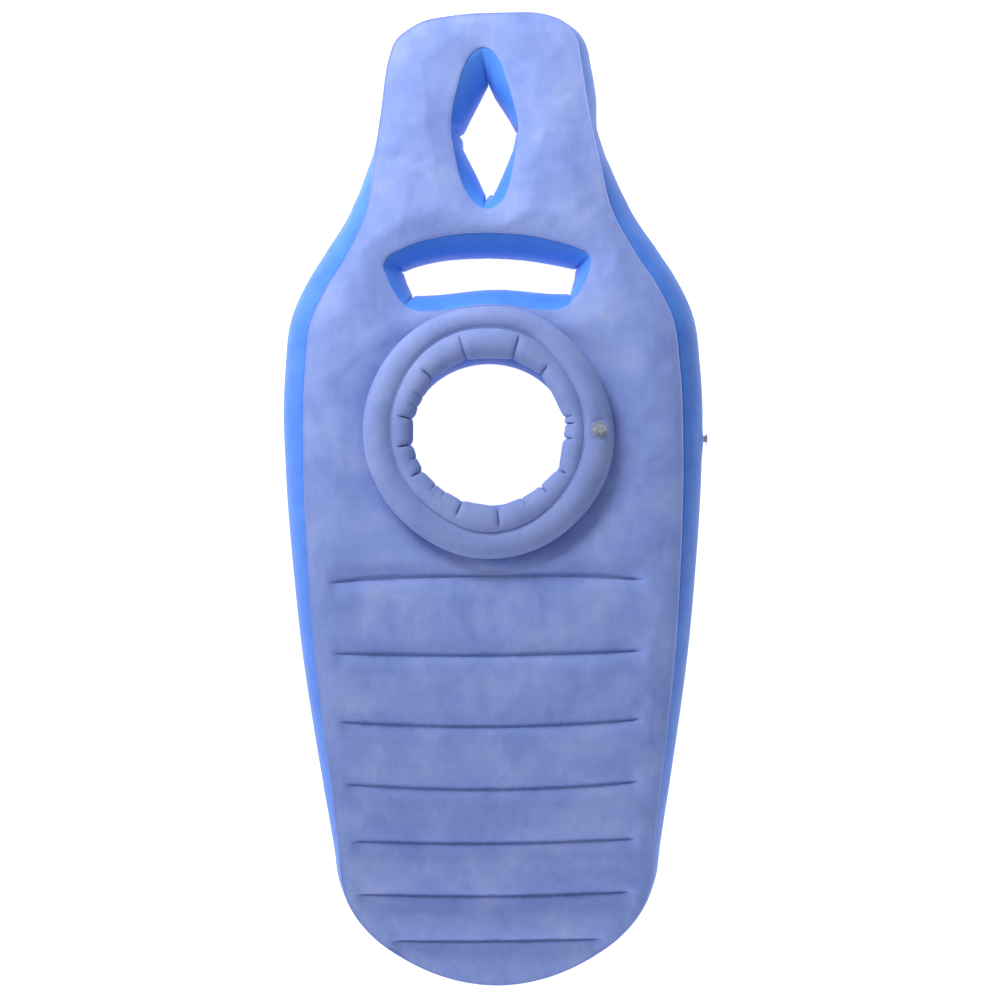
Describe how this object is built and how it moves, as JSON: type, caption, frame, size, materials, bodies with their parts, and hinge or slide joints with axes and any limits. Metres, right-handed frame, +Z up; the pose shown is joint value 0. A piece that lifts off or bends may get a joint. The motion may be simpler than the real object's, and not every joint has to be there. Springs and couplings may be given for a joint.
{
  "type": "inflatable prone mattress",
  "caption": "Full-length inflatable mattress for lying face down, with a face hole, a chest slot and a belly hole that a second, raised air ring surrounds.",
  "frame": {"origin": "on the floor, under the middle of the mattress's outline", "axes": "+X to the right seen from above with the head end up, +Y towards the head end, +Z up"},
  "size_m": [0.7997, 1.8155, 0.2499],
  "materials": {
    "flocked_vinyl": "matte",
    "smooth_vinyl": "satin",
    "strip_vinyl": "matte",
    "clear_vinyl": "gloss"
  },
  "bodies": {
    "root": {"top_sheet": "flocked_vinyl", "ring_outer_band": "flocked_vinyl", "ring_inner_band": "flocked_vinyl", "bottom_sheet": "smooth_vinyl", "side_wall": "smooth_vinyl", "face_hole_wall": "smooth_vinyl", "chest_slot_wall": "smooth_vinyl", "belly_hole_wall": "smooth_vinyl", "tension_strip_1": "strip_vinyl", "tension_strip_2": "strip_vinyl", "tension_strip_3": "strip_vinyl", "tension_strip_4": "strip_vinyl", "tension_strip_5": "strip_vinyl", "tension_strip_6": "strip_vinyl", "tension_strip_7": "strip_vinyl", "main_valve_base": "clear_vinyl", "ring_valve_base": "clear_vinyl"},
    "main_stem": {"main_valve_stem": "clear_vinyl", "main_valve_strap": "clear_vinyl"},
    "main_plug": {"main_valve_plug": "clear_vinyl"},
    "main_flap": {"main_valve_flap": "clear_vinyl"},
    "ring_stem": {"ring_valve_stem": "clear_vinyl", "ring_valve_strap": "clear_vinyl"},
    "ring_plug": {"ring_valve_plug": "clear_vinyl"},
    "ring_flap": {"ring_valve_flap": "clear_vinyl"}
  },
  "joints": [
    {"name": "main_stem_press", "type": "slide", "parent": "root", "child": "main_stem", "axis": [-1, 0, 0], "range_m": [0, 0.005]},
    {"name": "main_plug_pull", "type": "slide", "parent": "main_stem", "child": "main_plug", "axis": [1, 0, 0], "range_m": [0, 0.012], "deforming": ["main_valve_strap"]},
    {"name": "main_flap_swing", "type": "hinge", "parent": "main_stem", "child": "main_flap", "pos_m": [0.37743, 0.1042, 0.1], "axis": [0, 0, 1], "range_deg": [0, 60], "stiffness_Nm_per_rad": 0.0001},
    {"name": "ring_stem_press", "type": "slide", "parent": "root", "child": "ring_stem", "axis": [-0.1187, 0, -0.9929], "range_m": [0, 0.005]},
    {"name": "ring_plug_pull", "type": "slide", "parent": "ring_stem", "child": "ring_plug", "axis": [0.1187, 0, 0.9929], "range_m": [0, 0.012], "deforming": ["ring_valve_strap"]},
    {"name": "ring_flap_swing", "type": "hinge", "parent": "ring_stem", "child": "ring_flap", "pos_m": [0.18761, 0.12575, 0.22242], "axis": [0, 1, 0], "range_deg": [0, 60], "stiffness_Nm_per_rad": 0.0001}
  ]
}
